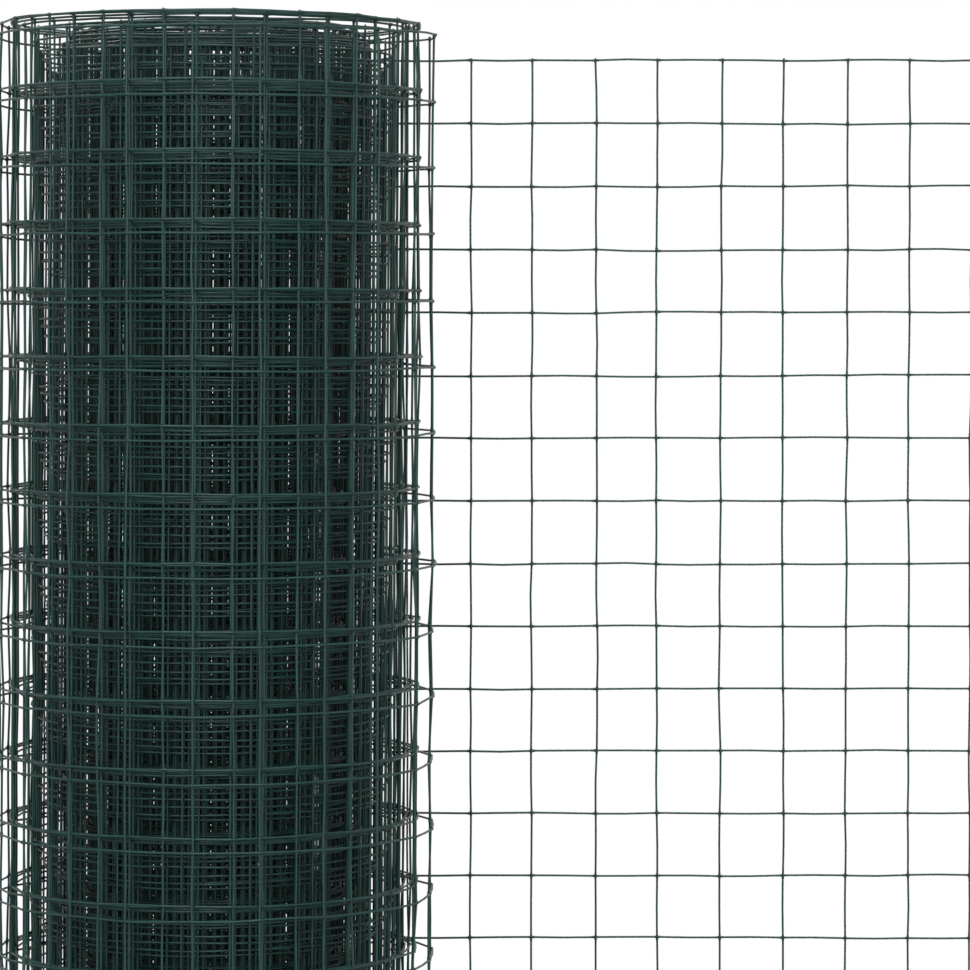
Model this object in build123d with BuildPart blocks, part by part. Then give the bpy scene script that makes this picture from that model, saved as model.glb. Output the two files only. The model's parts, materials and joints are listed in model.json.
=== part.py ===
"""A roll of square welded wire fencing, standing on end with its loose end drawn out straight.

The sheet is wound round the Z axis, and its turns have slipped along each other. The roll stands on the floor at
z = 0 on its core and on a ring of turns further out, and all other turns sit higher. The loose end leaves the
outermost turn at the back, at y = +roll_radius, and runs flat along +X.
"""

import os
from math import sqrt

from build123d import *

# The sheet: line wires along it and uprights across it, welded at every crossing
mesh_pitch = 50.0
meshes_high = 20
wire_diameter = 1.75
weld_depth = 0.525
wire_stub = 2.0

# Tight turns, from the bore outwards: several turns to each step of the roll's ends
bore_radius = 28.0
tight_spacing = 3.075
turns_per_step = 3

# Two loose turns outside them, each with a gap inside it: the second turn sits highest, the outermost turn lower,
# and the loose end lower still
loose_gap = 5.8
gap_depth = 25.0
top_rise = 43.0
outer_slip = 10.5
loose_slip = 9.5

# How high each step of the tight turns sits above the floor, of the second turn's rise
step_rise_shares = (0, 0.4, 0.78, 0.83, 0.77, 0.81, 0.72, 0.76, 0.79, 0.65, 0, 0.44, 0.9)

# The loose end: uprights counted from the roll
loose_uprights = 13
lead_in = 16.0
seat_clearance = 0.3

# Sizes that follow
sheet_height = meshes_high * mesh_pitch + 2 * wire_stub
sheet_thickness = 2 * wire_diameter - weld_depth
tight_width = turns_per_step * tight_spacing
tight_radius = bore_radius + len(step_rise_shares) * tight_width
outer_rise = top_rise - outer_slip
loose_rise = outer_rise - loose_slip
loose_turn_rises = (top_rise, outer_rise)
roll_radius = tight_radius + len(loose_turn_rises) * (loose_gap + sheet_thickness)


def turn_steps():
    """Width, lower edge and upper edge of every step of the roll's ends, from the bore outwards."""
    step_rises = [share * top_rise for share in step_rise_shares]
    steps = [(tight_width, rise, rise + sheet_height) for rise in step_rises]
    for rise in loose_turn_rises:
        steps.append((loose_gap, rise + gap_depth, rise + sheet_height - gap_depth))
        steps.append((sheet_thickness, rise, rise + sheet_height))
    return steps


def end_outlines():
    """Points of the lower and the upper end of the roll's half section, both from the bore outwards."""
    lower, upper = [], []
    radius = bore_radius
    for width, low, high in turn_steps():
        for outline, edge in ((lower, low), (upper, high)):
            outline += [place for place in ((radius, edge), (radius + width, edge)) if place not in outline]
        radius += width
    return lower, upper


# The wound turns: one turned body, stepped at both ends where the turns lie
with BuildPart() as rolled_turns:
    lower_end, upper_end = end_outlines()
    with BuildSketch(Plane.XZ):
        with BuildLine():
            Polyline(*lower_end, *reversed(upper_end), close=True)
        make_face()
    revolve(axis=Axis.Z)
rolled_turns.part.label = "rolled_turns"

# The loose end: its line wires carry on from the outermost turn and begin where they come clear of it
line_plane = roll_radius - wire_diameter / 2
upright_plane = line_plane - wire_diameter + weld_depth
loose_start = sqrt((roll_radius + seat_clearance) ** 2 - (line_plane - wire_diameter / 2) ** 2)
upright_span = (loose_uprights - 1) * mesh_pitch
loose_length = lead_in + upright_span + wire_stub
upright_middle = loose_start + lead_in + upright_span / 2
line_middle = loose_rise + sheet_height / 2

with BuildPart() as loose_end:
    with BuildSketch(Plane.XY.offset(loose_rise)):
        with Locations((upright_middle, upright_plane)):
            with GridLocations(mesh_pitch, mesh_pitch, loose_uprights, 1):
                Rectangle(wire_diameter, wire_diameter)
    extrude(amount=sheet_height)
    with BuildSketch(Plane.YZ.offset(loose_start)):
        with Locations((line_plane, line_middle)):
            with GridLocations(mesh_pitch, mesh_pitch, 1, meshes_high + 1):
                Rectangle(wire_diameter, wire_diameter)
    extrude(amount=loose_length)
loose_end.part.label = "loose_end"

os.makedirs("parts", exist_ok=True)
for piece in (rolled_turns, loose_end):
    export_step(piece.part, f"parts/{piece.part.label}.step")
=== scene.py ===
"""A standing roll of square welded wire fencing, with its loose end drawn out flat behind it.

The fencing is one sheet of coated wires, line wires along it and uprights across it, welded at every
crossing. A place on the sheet has two numbers: s, the way along it from the point where it leaves the
roll (negative on the loose end, positive into the roll), and z, the height across it. Every wire is a
round profile carried along a line on that sheet, worked out as whole arrays. Lengths are in metres, and
the winding is counted in turns from the point where the sheet leaves the roll, at the back, over the left
side to the front.
"""

import json
import math

import bpy
import numpy as np
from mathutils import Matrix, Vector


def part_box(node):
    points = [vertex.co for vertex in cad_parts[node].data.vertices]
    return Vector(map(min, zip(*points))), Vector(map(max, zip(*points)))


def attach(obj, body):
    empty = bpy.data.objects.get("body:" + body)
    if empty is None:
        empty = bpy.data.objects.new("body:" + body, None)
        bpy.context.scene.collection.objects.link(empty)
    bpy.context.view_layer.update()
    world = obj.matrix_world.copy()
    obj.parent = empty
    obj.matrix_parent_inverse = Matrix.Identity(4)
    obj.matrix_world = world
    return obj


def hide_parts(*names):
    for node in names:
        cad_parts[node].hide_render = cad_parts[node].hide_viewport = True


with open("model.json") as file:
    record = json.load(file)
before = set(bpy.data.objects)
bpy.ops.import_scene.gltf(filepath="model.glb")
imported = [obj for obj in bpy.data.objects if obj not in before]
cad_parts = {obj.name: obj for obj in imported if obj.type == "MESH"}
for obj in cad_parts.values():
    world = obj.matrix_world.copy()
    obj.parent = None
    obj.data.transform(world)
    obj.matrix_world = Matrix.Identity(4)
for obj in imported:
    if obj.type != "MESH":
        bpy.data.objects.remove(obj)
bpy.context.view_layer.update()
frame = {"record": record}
roll_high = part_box("rolled_turns")[1]
loose_low, loose_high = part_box("loose_end")
bore = next(mount for mount in frame["record"]["mounts"] if mount["name"] == "bore")

# The sheet: crossing wires are set into each other at the welds, uprights end in a stub past the edge
# wires, line wires end past the last upright, and line wires lie outside the uprights
MESH = 0.050
MESHES_HIGH = 20
ROWS = MESHES_HIGH + 1
WIRE = 0.00175
SET_DOWN = 0.3 * WIRE
STUB = 0.0016
LINE_END = 0.002
LINE_OUT = WIRE - SET_DOWN
SHEET_HEIGHT = loose_high.z - loose_low.z
ROW_PITCH = (SHEET_HEIGHT - 2 * STUB) / MESHES_HIGH

# The loose turns, from the outside in: how far the sheet lies off the radius at which it leaves the roll,
# at the back, the left, the front and the right of every turn
OUTER_RADIUS = loose_high.y - WIRE / 2 - LINE_OUT
LOOSE_TURNS = (
    (0.0, 0.0019, -0.0016, 0.0024),
    (-0.0025, -0.0012, -0.0035, -0.0082),
    (-0.0085, -0.0079, -0.0095, -0.0136),
    (-0.0130, -0.0111, -0.0140, -0.0179),
    (-0.0170, -0.0141, -0.0182, -0.0219),
)

# The tight turns inside them, down to the bore, with a seeded uneven part at every half turn
TIGHT_RADIUS = 0.1405
TIGHT_SPACING = 0.00298
UNEVEN = 0.00018
UNEVEN_STEP = 0.5
BORE_RADIUS = bore["dims"]["r_mm"] / 1000

# Samples of the winding in every turn, and the number of samples over which radius and rise are smoothed
TURN_SAMPLES = 360
RADIUS_BLUR = 61
RISE_BLUR = 91

# How high the sheet's lower edge sits on the loose end and on the second turn, the highest one, and how
# far the turns have slipped down from that one: the outer turns at marks, the inner turns within limits,
# one mark to a turn, beginning and stopping some turns short of the outer marks and the core
LOOSE_RISE = loose_low.z
TOP_RISE = roll_high.z - SHEET_HEIGHT
OUTER_MARKS = (0, 0.25, 0.75, 1.2, 1.5, 1.75, 2.25, 2.75, 3.5, 4.5, 5.5, 6.5, 7.5, 8.5, 9.5, 10.5, 11)
OUTER_SLIPS = (
    TOP_RISE - LOOSE_RISE, 0.0105, 0.0105, 0.0025, -0.0006, 0.0030, 0.0005, 0.0020, 0.0024, 0.0044,
    0.0066, 0.0160, 0.0246, 0.0310, 0.0370, 0.0410, TOP_RISE,
)
INNER_SLIPS = (0.003, 0.022)
INNER_START = 1.5
INNER_STOP = 1
CORE_TURNS = 3

# How far the wound turns lean to the left below a level near their upper end, of the height, and the share
# of it at marked turns
LEAN = 0.0072
LEAN_TOP = 0.95
LEAN_TURNS = (0, 0.25, 0.75, 1.25)
LEAN_SHARES = (0, 0.5, 0.5, 1)

# How loosely the wires are held at marked turns: 1 where they stray freely
LOOSENESS_TURNS = (0, 2, 3, 6)
LOOSENESS = (1.0, 1.0, 0.6, 0.12)

# How far wires stray, as standard deviations: a whole upright, every weld, a line wire from one upright to
# the next (less its mean over a number of uprights), and a wire between two welds
UPRIGHT_LEAN = 0.0006
UPRIGHT_BOW = 0.0009
UPRIGHT_SWING = 0.0005
SWING_ANGLE = 2.5
UPRIGHT_BULGE = 0.0010
WELD_ALONG = 0.0003
WELD_OUT = 0.0002
LOOSE_WELD_OUT = 0.0006
WELD_UP = 0.00025
LINE_DRIFT = 0.00015
DRIFT_BLUR = 41
MESH_BOW = 0.0003

# How far a line wire cuts across the curve between two welds, of the arc's height, at marked turns
STRAIGHT_TURNS = (0, 0.01, 2, 5)
STRAIGHT_SHARES = (0, 0.7, 0.6, 0.12)

# Bead at a weld: how far it reaches along the wire, and how much thicker it makes the wire
BEAD_REACH = 0.0018
BEAD_SWELL = 0.45

# An upright's stub: where its shoulder sits on the way to the tip, and how thick both are, of the wire
SHOULDER = 0.7
SHOULDER_SHARE = 0.85
TIP_SHARE = 0.45

# How finely wires are made: sample places in every mesh on line wires and on uprights, as shares of it,
# then the sides of the profile and the swell at a weld
FINE_SHARES = (0, 0.025, 0.05, 0.09, 0.5, 0.91, 0.95, 0.975)
BEAD_SHARES = (0, 0.03, 0.08, 0.5, 0.92, 0.97)
FINE = (FINE_SHARES, FINE_SHARES, 8, BEAD_SWELL)
BEADED = (BEAD_SHARES, BEAD_SHARES, 6, BEAD_SWELL)
PLAIN = ((0, 1 / 3, 2 / 3), (0, 0.5), 6, 0.0)

# The pieces that the sheet is cut into, from the loose end inwards: the turn at which each ends, and how
# finely it is made
PIECES = (
    ("loose_end_wires", 0.0, FINE),
    ("outer_turn", 1.0, FINE),
    ("second_turn", 3.0, BEADED),
    ("slack_turns", 5.2, BEADED),
    ("tight_turns_outside", 12.0, PLAIN),
    ("tight_turns_middle", 19.5, PLAIN),
    ("tight_turns_inside", 29.0, PLAIN),
    ("core_turns", math.inf, PLAIN),
)

WINDING_SEED = 288
SHEET_SEED = 11

# The coat: places and colours of its mottled green, its colour at the welds, and its roughness
COAT_SHADES = ((0.3, (0.006, 0.031, 0.0265, 1)), (0.75, (0.011, 0.049, 0.0415, 1)))
WELD_SHADE = (0.005, 0.025, 0.0215, 1)
COAT_ROUGHNESS = (0.34, 0.50)

# The studio: half the floor's width, its white, the distances over which it fades to the background, and
# the even light from all around
FLOOR_REACH = 2.4
FLOOR_WHITE = (0.86, 0.86, 0.86, 1)
FLOOR_FADE = (0.5, 1.6)
WHITE = (1, 1, 1, 1)
AROUND_STRENGTH = 0.2

# Soft lamps: place, target, width, height and power, and the one piece on which a lamp shines, if any
LAMPS = (
    ("key_lamp", (-0.5, -2.7, 2.7), (0.1, 0, 0.6), 1.0, 1.0, 85, None),
    ("fill_lamp", (0.9, -3.2, 1.3), (0.1, 0, 0.6), 1.0, 1.0, 40, None),
    ("back_lamp", (-0.5, 2.6, 2.2), (0, 0, 0.6), 1.0, 1.0, 14, None),
    ("loose_end_lamp", (0.68, 0.50, 0.65), (0.60, 0, 0.65), 0.9, 1.4, 22, "loose_end_wires"),
)

# The photograph's view: the camera's place, in degrees how far it is tipped down, and its lens and sensor
# in millimetres
CAMERA_PLACE = (0.204, -3.383, loose_high.z - 0.180)
CAMERA_TIP = 2.57
LENS_LENGTH = 165.3
SENSOR_WIDTH = 36.0

UPWARD = np.array([0.0, 0.0, 1.0])


def eased(x, marks, values):
    """Values read between marks, each stretch by the smooth step t * t * (3 - 2 t)."""
    marks, values = np.asarray(marks), np.asarray(values)
    stretch = np.clip(np.searchsorted(marks, x, "right") - 1, 0, len(marks) - 2)
    t = np.clip((x - marks[stretch]) / (marks[stretch + 1] - marks[stretch]), 0, 1)
    return values[stretch] + (values[stretch + 1] - values[stretch]) * t * t * (3 - 2 * t)


def blurred(values, width):
    """Running mean over an odd number of samples, with the ends held."""
    padded = np.pad(values, width // 2, mode="edge")
    return np.convolve(padded, np.ones(width) / width, mode="valid")


class Winding:
    """The sheet's line seen from above, as tables over s.

    The loose end is the straight line y = OUTER_RADIUS from its far end to x = 0. There it meets a spiral
    with angle = 90 degrees + 360 degrees per turn. Its radius follows the loose turns, then shrinks by the
    tight spacing for every turn until it reaches the bore, a little uneven by seeded offsets.
    """

    def __init__(self, far_end):
        rng = np.random.default_rng(WINDING_SEED)
        loose_radii = np.append(OUTER_RADIUS + np.ravel(LOOSE_TURNS), TIGHT_RADIUS)
        quarter_turns = np.arange(len(loose_radii)) / len(LOOSE_TURNS[0])
        tight_start = len(LOOSE_TURNS)
        last_radius = BORE_RADIUS + WIRE / 2
        self.last_turn = tight_start + (TIGHT_RADIUS - last_radius) / TIGHT_SPACING
        turn = np.linspace(0, self.last_turn, int(self.last_turn * TURN_SAMPLES))
        tight = np.interp(turn, [tight_start, self.last_turn], [TIGHT_RADIUS, last_radius])
        uneven_marks = np.arange(tight_start, self.last_turn + 1, UNEVEN_STEP)
        uneven = rng.normal(0, UNEVEN, len(uneven_marks))
        uneven[0] = 0
        tight += np.interp(turn, uneven_marks, uneven)
        loose = eased(turn, quarter_turns, loose_radii)
        radius = blurred(np.where(turn < tight_start, loose, tight), RADIUS_BLUR)
        rise = self.rises(turn, rng)
        angle = math.pi / 2 + 2 * math.pi * turn
        x = radius * np.cos(angle)
        y = radius * np.sin(angle)
        step = np.hypot(np.diff(x), np.diff(y))
        self.s = np.concatenate([[-far_end], [0], np.cumsum(step)])
        self.turn = np.concatenate([[0], [0], turn[1:]])
        self.x = np.concatenate([[far_end], x])
        self.y = np.concatenate([[y[0]], y])
        self.rise = np.concatenate([[LOOSE_RISE], [LOOSE_RISE], rise[1:]])
        self.lean = LEAN * np.interp(self.turn, LEAN_TURNS, LEAN_SHARES)
        self.normal_x = np.concatenate([[0], np.cos(angle)])
        self.normal_y = np.concatenate([[1], np.sin(angle)])

    def rises(self, turn, rng):
        """Lower edge of the sheet over the turns: marked slips on the outer turns and down to the turn on
        the floor, uneven seeded slips on the inner turns, and the core on the floor again."""
        core_start = self.last_turn - CORE_TURNS
        inner_marks = np.arange(OUTER_MARKS[-1] + INNER_START, core_start - INNER_STOP)
        inner_slips = rng.uniform(*INNER_SLIPS, len(inner_marks))
        marks = np.concatenate([OUTER_MARKS, inner_marks, [core_start, self.last_turn]])
        slips = np.concatenate([OUTER_SLIPS, inner_slips, [TOP_RISE, TOP_RISE]])
        return blurred(TOP_RISE - eased(turn, marks, slips), RISE_BLUR)

    def at(self, name, s):
        """The named table read at s."""
        return np.interp(s, self.s, getattr(self, name))

    def place(self, s, out, z):
        """Points at s along the sheet, a distance out along its outward normal, at height z, with the lean
        added to x."""
        x = self.at("x", s) + self.at("normal_x", s) * out + self.at("lean", s) * (z - LEAN_TOP)
        y = self.at("y", s) + self.at("normal_y", s) * out
        return np.stack([x, y, z], -1)

    def normal(self, s):
        """Outward normal of the sheet at s."""
        n = np.stack([self.at("normal_x", s), self.at("normal_y", s), np.zeros_like(s)], -1)
        return n / np.linalg.norm(n, axis=-1, keepdims=True)


class Sheet:
    """The welded sheet: where its uprights stand, and how far every weld sits off the even grid.

    Each weld has three offsets, along the sheet, out of it and up. They add a small seeded random part to
    slow waves: an upright leans, bows, swings and bulges, more so on the loose turns, and a line wire
    drifts up and down. Between two welds a wire has a bow of its own.
    """

    def __init__(self, winding, far_upright):
        rng = np.random.default_rng(SHEET_SEED)
        self.winding = winding
        self.count = int((winding.s[-1] + far_upright) / MESH) + 1
        self.s = -far_upright + MESH * np.arange(self.count)
        self.turn = winding.at("turn", self.s)
        looseness = np.interp(self.turn, LOOSENESS_TURNS, LOOSENESS)[:, None]
        z = np.linspace(-1, 1, ROWS)[None, :]
        grid, row = (self.count, ROWS), (self.count, 1)
        lean = rng.normal(0, UPRIGHT_LEAN, row) * z
        bow = rng.normal(0, UPRIGHT_BOW, row) * (1 - z * z)
        swing_size = rng.normal(0, UPRIGHT_SWING, row)
        swing = swing_size * np.sin(SWING_ANGLE * z + rng.uniform(0, 2 * math.pi, row))
        self.along = looseness * (lean + bow + swing + rng.normal(0, WELD_ALONG, grid))
        bulge = rng.normal(0, UPRIGHT_BULGE, row) * (1 - z * z)
        wander = WELD_OUT + LOOSE_WELD_OUT * looseness**2
        self.out = wander * rng.normal(0, 1, grid) + looseness * bulge
        drift = np.cumsum(rng.normal(0, LINE_DRIFT, grid), axis=0)
        drift -= np.stack([blurred(column, DRIFT_BLUR) for column in drift.T], -1)
        self.up = rng.normal(0, WELD_UP, grid) + drift
        self.line_bow = rng.normal(0, MESH_BOW, grid)
        self.upright_bow = looseness * rng.normal(0, MESH_BOW, grid)


def tubes(path, first_axis, second_axis, radius, sides):
    """Points and faces of round wires: profile = radius * (cos a * first_axis + sin a * second_axis),
    carried along every path. path is (wires, points, 3); first x second axis points along the path, so
    faces point outwards. Both ends of each wire are closed by one flat face."""
    wires, points = path.shape[:2]
    angle = 2 * np.pi * np.arange(sides) / sides
    ring = (
        np.cos(angle)[:, None] * first_axis[..., None, :]
        + np.sin(angle)[:, None] * second_axis[..., None, :]
    )
    vertices = path[..., None, :] + radius[..., None, None] * ring
    index = np.arange(wires * points * sides).reshape(wires, points, sides)
    here, there = index[:, :-1], index[:, 1:]
    quads = np.stack([here, np.roll(here, -1, 2), np.roll(there, -1, 2), there], -1).reshape(-1, 4)
    caps = np.concatenate([index[:, 0, ::-1], index[:, -1]])
    return vertices.reshape(-1, 3), quads, caps


def add_object(name, data):
    """A new object at the origin that shows the data, in the scene."""
    thing = bpy.data.objects.new(name, data)
    bpy.context.scene.collection.objects.link(thing)
    return thing


def mesh_piece(name, parts):
    """One mesh object from several (vertices, quads, caps, weld share) sets, smooth, with the weld share
    kept as an attribute of its points."""
    vertices, weld, corners, starts = [], [], [], []
    base, corner_base = 0, 0
    for part_vertices, quads, caps, part_weld in parts:
        vertices.append(part_vertices)
        weld.append(part_weld)
        for faces in (quads, caps):
            corners.append((faces + base).ravel())
            starts.append(corner_base + faces.shape[1] * np.arange(len(faces)))
            corner_base += faces.size
        base += len(part_vertices)
    vertices = np.concatenate(vertices)
    corners = np.concatenate(corners)
    starts = np.concatenate(starts)
    mesh = bpy.data.meshes.new(name)
    mesh.vertices.add(len(vertices))
    mesh.vertices.foreach_set("co", vertices.astype(np.float32).ravel())
    mesh.loops.add(len(corners))
    mesh.loops.foreach_set("vertex_index", corners.astype(np.int32))
    mesh.polygons.add(len(starts))
    mesh.polygons.foreach_set("loop_start", starts.astype(np.int32))
    mesh.polygons.foreach_set("use_smooth", np.ones(len(starts), bool))
    attribute = mesh.attributes.new("weld", "FLOAT", "POINT")
    attribute.data.foreach_set("value", np.concatenate(weld).astype(np.float32))
    mesh.update(calc_edges=True)
    mesh.validate()
    return add_object(name, mesh)


def between(count, shares):
    """Sample places along a row of welds, in welds: the given shares of every mesh, and the last weld."""
    return np.append((np.arange(count - 1)[:, None] + np.asarray(shares)[None, :]).ravel(), count - 1)


def curved(offsets, bows, places):
    """Weld offsets read at places between the welds: a cubic through them with the slope of their
    neighbours at each weld, plus the bow of the mesh, 4 t (1 - t) of it."""
    mesh = np.clip(np.floor(places).astype(int), 0, len(offsets) - 2)
    t = (places - mesh)[:, None]
    slope = np.gradient(offsets, axis=0)
    return (
        (1 + 2 * t) * (1 - t) ** 2 * offsets[mesh]
        + t * (1 - t) ** 2 * slope[mesh]
        + t * t * (3 - 2 * t) * offsets[mesh + 1]
        + t * t * (t - 1) * slope[mesh + 1]
        + 4 * t * (1 - t) * bows[mesh]
    )


def weld_share(places):
    """1 at a weld, falling as exp(-(distance / BEAD_REACH) squared)."""
    distance = MESH * np.abs(places - np.round(places))
    return np.exp(-((distance / BEAD_REACH) ** 2))


def line_wires(sheet, first, last, shares, sides, swell):
    """The line wires between two uprights: each follows the sheet outside the uprights and passes through
    its welds. Between two welds it cuts across the curve by a share of the arc's height, which is
    MESH squared / (8 radius) times 4 t (1 - t)."""
    winding = sheet.winding
    places = between(last - first + 1, shares)
    s = sheet.s[first] + MESH * places
    flat = np.zeros_like(sheet.out[first:last])
    out = curved(sheet.out[first : last + 1], flat, places)
    up = curved(sheet.up[first : last + 1], sheet.line_bow[first:last], places)
    radius = np.hypot(winding.at("x", s), winding.at("y", s))
    straight = np.interp(winding.at("turn", s), STRAIGHT_TURNS, STRAIGHT_SHARES)
    part = places % 1
    sagitta = straight * MESH**2 / (8 * radius) * 4 * part * (1 - part)
    heights = winding.at("rise", s)[None, :] + STUB + ROW_PITCH * np.arange(ROWS)[:, None] + up.T
    path = winding.place(np.broadcast_to(s, heights.shape), LINE_OUT - sagitta + out.T, heights)
    normal = np.broadcast_to(winding.normal(s), path.shape)
    upward = np.broadcast_to(UPWARD, path.shape)
    weld = weld_share(places)
    thick = np.broadcast_to(WIRE / 2 * (1 + swell * weld), heights.shape)
    vertices, quads, caps = tubes(path, upward, normal, thick, sides)
    return vertices, quads, caps, np.repeat(np.tile(weld, ROWS), sides)


def uprights(sheet, first, last, shares, sides, swell):
    """The uprights from first to last: each stands across the sheet, passes through its welds and ends in a
    short stub past the edge wires."""
    winding = sheet.winding
    inner = between(ROWS, shares)
    end = STUB / ROW_PITCH
    shoulder = SHOULDER * end
    places = np.concatenate([[-end, -shoulder], inner, [MESHES_HIGH + shoulder, MESHES_HIGH + end]])
    bows = sheet.upright_bow[first : last + 1, :-1].T
    along = curved(sheet.along[first : last + 1].T, bows, places).T
    out = curved(sheet.out[first : last + 1].T, np.zeros_like(bows), places).T
    s = sheet.s[first : last + 1, None] + along
    heights = winding.at("rise", sheet.s[first : last + 1])[:, None] + STUB + ROW_PITCH * places[None, :]
    path = winding.place(s, out, heights)
    normal = winding.normal(s)
    sideways = np.cross(UPWARD, normal)
    weld = weld_share(places)
    profile = WIRE / 2 * (1 + swell * weld)
    profile[[0, -1]] = TIP_SHARE * WIRE / 2
    profile[[1, -2]] = SHOULDER_SHARE * WIRE / 2
    thick = np.broadcast_to(profile, heights.shape)
    vertices, quads, caps = tubes(path, normal, sideways, thick, sides)
    return vertices, quads, caps, np.repeat(np.tile(weld, last - first + 1), sides)


def coated_wire():
    """Smooth dark green plastic coat on drawn wire: the colour shifts a little along the wires and is
    darker where the coat gathers at the welds, with a fine skin in the bump."""
    material = bpy.data.materials.new("coated_wire")
    material.use_nodes = True
    nodes = material.node_tree.nodes
    links = material.node_tree.links
    shader = nodes["Principled BSDF"]
    shader.inputs["IOR"].default_value = 1.5
    shader.inputs["Specular IOR Level"].default_value = 0.29
    place = nodes.new("ShaderNodeTexCoord")
    mottle = nodes.new("ShaderNodeTexNoise")
    mottle.inputs["Scale"].default_value = 55.0
    mottle.inputs["Detail"].default_value = 3.0
    links.new(place.outputs["Object"], mottle.inputs["Vector"])
    shade = nodes.new("ShaderNodeValToRGB")
    for element, (position, color) in zip(shade.color_ramp.elements, COAT_SHADES):
        element.position = position
        element.color = color
    links.new(mottle.outputs["Fac"], shade.inputs["Fac"])
    weld = nodes.new("ShaderNodeAttribute")
    weld.attribute_name = "weld"
    darker = nodes.new("ShaderNodeMix")
    darker.data_type = "RGBA"
    darker.inputs["B"].default_value = WELD_SHADE
    links.new(weld.outputs["Fac"], darker.inputs["Factor"])
    links.new(shade.outputs["Color"], darker.inputs["A"])
    links.new(darker.outputs["Result"], shader.inputs["Base Color"])
    rough = nodes.new("ShaderNodeMapRange")
    rough.inputs["To Min"].default_value = COAT_ROUGHNESS[0]
    rough.inputs["To Max"].default_value = COAT_ROUGHNESS[1]
    links.new(mottle.outputs["Fac"], rough.inputs["Value"])
    links.new(rough.outputs["Result"], shader.inputs["Roughness"])
    skin = nodes.new("ShaderNodeTexNoise")
    skin.inputs["Scale"].default_value = 1400.0
    skin.inputs["Detail"].default_value = 2.0
    links.new(place.outputs["Object"], skin.inputs["Vector"])
    bump = nodes.new("ShaderNodeBump")
    bump.inputs["Strength"].default_value = 0.25
    bump.inputs["Distance"].default_value = 0.0002
    links.new(skin.outputs["Fac"], bump.inputs["Height"])
    links.new(bump.outputs["Normal"], shader.inputs["Normal"])
    return material


def sees_background(nodes, links):
    """1 for the rays that show the white background: camera, glossy and transmission rays."""
    rays = nodes.new("ShaderNodeLightPath")
    total = rays.outputs["Is Camera Ray"]
    for kind in ("Is Glossy Ray", "Is Transmission Ray"):
        either = nodes.new("ShaderNodeMath")
        either.operation = "MAXIMUM"
        links.new(total, either.inputs[0])
        links.new(rays.outputs[kind], either.inputs[1])
        total = either.outputs["Value"]
    return total


def pale_floor():
    """A plain white floor that keeps the roll's shadow and fades to the background's white at its rim."""
    mesh = bpy.data.meshes.new("floor")
    corners = [(x * FLOOR_REACH, y * FLOOR_REACH, 0) for x, y in ((-1, -1), (1, -1), (1, 1), (-1, 1))]
    mesh.from_pydata(corners, [], [(0, 1, 2, 3)])
    floor = add_object("floor", mesh)
    material = bpy.data.materials.new("floor")
    material.use_nodes = True
    nodes = material.node_tree.nodes
    links = material.node_tree.links
    shader = nodes["Principled BSDF"]
    shader.inputs["Base Color"].default_value = FLOOR_WHITE
    shader.inputs["Roughness"].default_value = 0.9
    glow = nodes.new("ShaderNodeEmission")
    place = nodes.new("ShaderNodeTexCoord")
    reach = nodes.new("ShaderNodeVectorMath")
    reach.operation = "LENGTH"
    links.new(place.outputs["Object"], reach.inputs[0])
    fade = nodes.new("ShaderNodeMapRange")
    fade.interpolation_type = "SMOOTHSTEP"
    fade.inputs["From Min"].default_value = FLOOR_FADE[0]
    fade.inputs["From Max"].default_value = FLOOR_FADE[1]
    links.new(reach.outputs["Value"], fade.inputs["Value"])
    seen = nodes.new("ShaderNodeMath")
    seen.operation = "MULTIPLY"
    links.new(fade.outputs["Result"], seen.inputs[0])
    links.new(sees_background(nodes, links), seen.inputs[1])
    mix = nodes.new("ShaderNodeMixShader")
    links.new(seen.outputs["Value"], mix.inputs["Fac"])
    links.new(shader.outputs["BSDF"], mix.inputs[1])
    links.new(glow.outputs["Emission"], mix.inputs[2])
    links.new(mix.outputs["Shader"], nodes["Material Output"].inputs["Surface"])
    mesh.materials.append(material)


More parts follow.
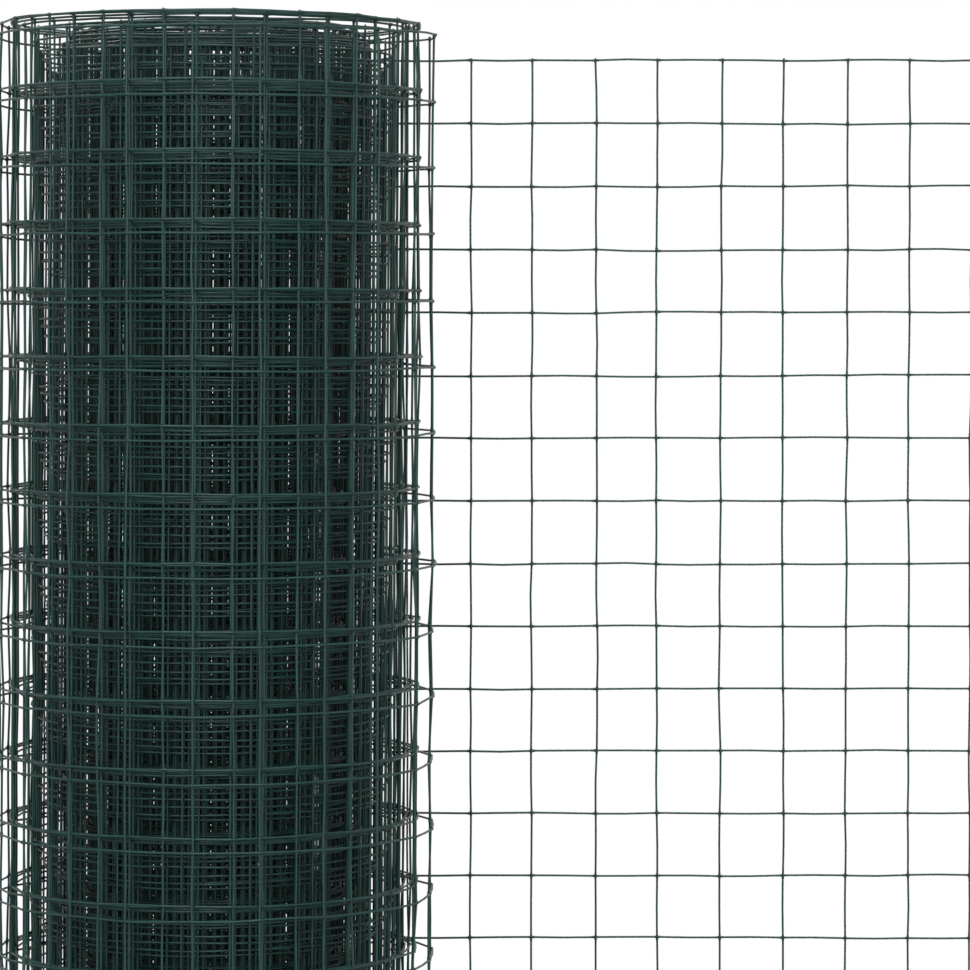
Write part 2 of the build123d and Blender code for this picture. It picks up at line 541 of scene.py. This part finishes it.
def studio_world():
    """White where the background is seen, and an even soft light on everything else."""
    world = bpy.data.worlds.new("studio")
    bpy.context.scene.world = world
    world.use_nodes = True
    nodes = world.node_tree.nodes
    links = world.node_tree.links
    seen = nodes["Background"]
    seen.inputs["Color"].default_value = WHITE
    seen.inputs["Strength"].default_value = 1.0
    around = nodes.new("ShaderNodeBackground")
    around.inputs["Color"].default_value = WHITE
    around.inputs["Strength"].default_value = AROUND_STRENGTH
    mix = nodes.new("ShaderNodeMixShader")
    links.new(sees_background(nodes, links), mix.inputs["Fac"])
    links.new(around.outputs["Background"], mix.inputs[1])
    links.new(seen.outputs["Background"], mix.inputs[2])
    links.new(mix.outputs["Shader"], nodes["World Output"].inputs["Surface"])


def soft_lamp(name, place, target, width, height, power, only):
    """A soft box of a width and height at place that shines at target, and on the piece called only if that
    is given."""
    lamp = bpy.data.lights.new(name, "AREA")
    lamp.shape = "RECTANGLE"
    lamp.size = width
    lamp.size_y = height
    lamp.energy = power
    box = add_object(name, lamp)
    way = np.array(target) - np.array(place)
    flat = math.hypot(way[0], way[1])
    box.location = place
    box.rotation_euler = (math.atan2(flat, -way[2]), 0, math.atan2(-way[0], way[1]))
    box.visible_camera = False
    if only:
        lit = bpy.data.collections.new(name)
        lit.objects.link(bpy.data.objects[only])
        box.light_linking.receiver_collection = lit


def camera():
    """The photograph's view: level with the upper part of the roll and tipped down a little."""
    lens = bpy.data.cameras.new("camera")
    lens.sensor_width = SENSOR_WIDTH
    lens.lens = LENS_LENGTH
    lens.clip_end = 100.0
    view = add_object("camera", lens)
    view.location = CAMERA_PLACE
    view.rotation_euler = (math.radians(90 - CAMERA_TIP), 0, 0)
    bpy.context.scene.camera = view


def fencing():
    """The sheet's wires, cut into pieces by turns: the loose end, then the turns from the outside in."""
    winding = Winding(loose_high.x)
    sheet = Sheet(winding, loose_high.x - LINE_END)
    finish = coated_wire()
    first = 0
    for name, last_turn, (line_shares, upright_shares, sides, swell) in PIECES:
        last = min(int(np.searchsorted(sheet.turn, last_turn, "right")), sheet.count - 1)
        first_upright = first if first == 0 else first + 1
        piece = mesh_piece(name, [
            line_wires(sheet, first, last, line_shares, sides, swell),
            uprights(sheet, first_upright, last, upright_shares, sides, swell),
        ])
        piece.data.materials.append(finish)
        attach(piece, "root")
        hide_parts("loose_end" if first == 0 else "rolled_turns")
        first = last


fencing()
pale_floor()
studio_world()
for lamp_values in LAMPS:
    soft_lamp(*lamp_values)
camera()
bpy.context.scene.view_settings.view_transform = "Standard"
